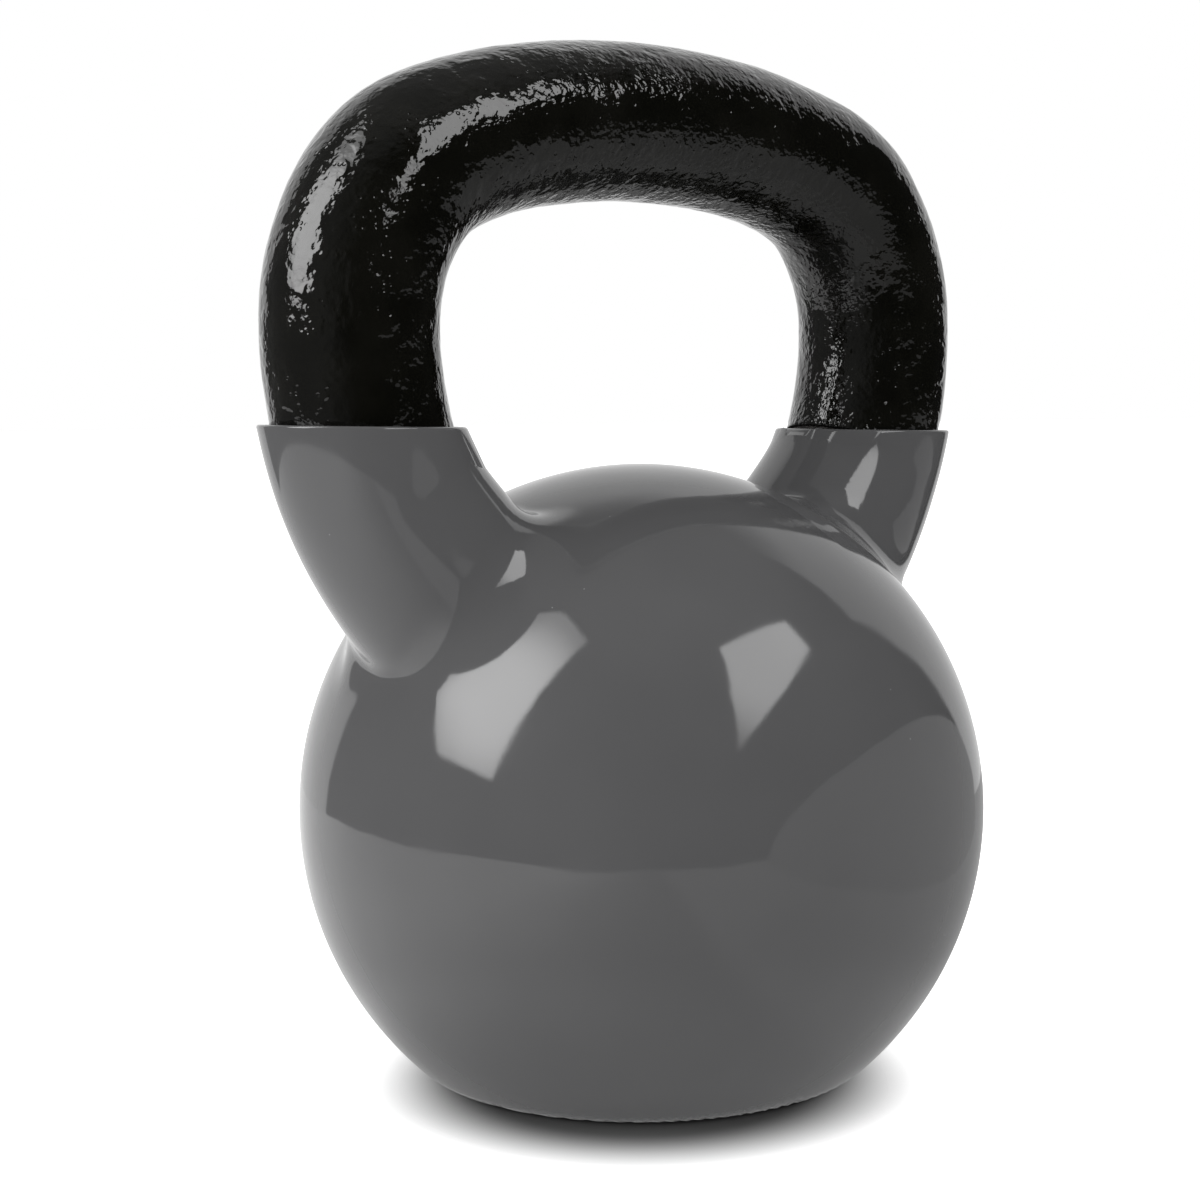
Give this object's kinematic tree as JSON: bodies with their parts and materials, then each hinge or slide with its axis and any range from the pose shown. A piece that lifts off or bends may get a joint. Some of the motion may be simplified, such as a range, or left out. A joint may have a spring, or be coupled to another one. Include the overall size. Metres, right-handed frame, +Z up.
{
  "type": "kettlebell",
  "caption": "Cast-iron kettlebell: round bell on a flat base, looped handle in black enamel, smooth grey vinyl coat dipped up to the horns.",
  "frame": {"origin": "middle of the flat base, on the floor", "axes": "+Z up through the bell's centre and the top of the handle; the handle spans X; +Y is square to the handle"},
  "size_m": [0.1784, 0.1456, 0.2155],
  "materials": {
    "cast_iron": "rough as-cast",
    "grey_vinyl": "smooth glossy dipped vinyl",
    "black_enamel": "glossy enamel over as-cast iron"
  },
  "bodies": {
    "root": {"iron_casting": "cast_iron", "vinyl_coat": "grey_vinyl", "handle_enamel": "black_enamel"}
  },
  "joints": []
}
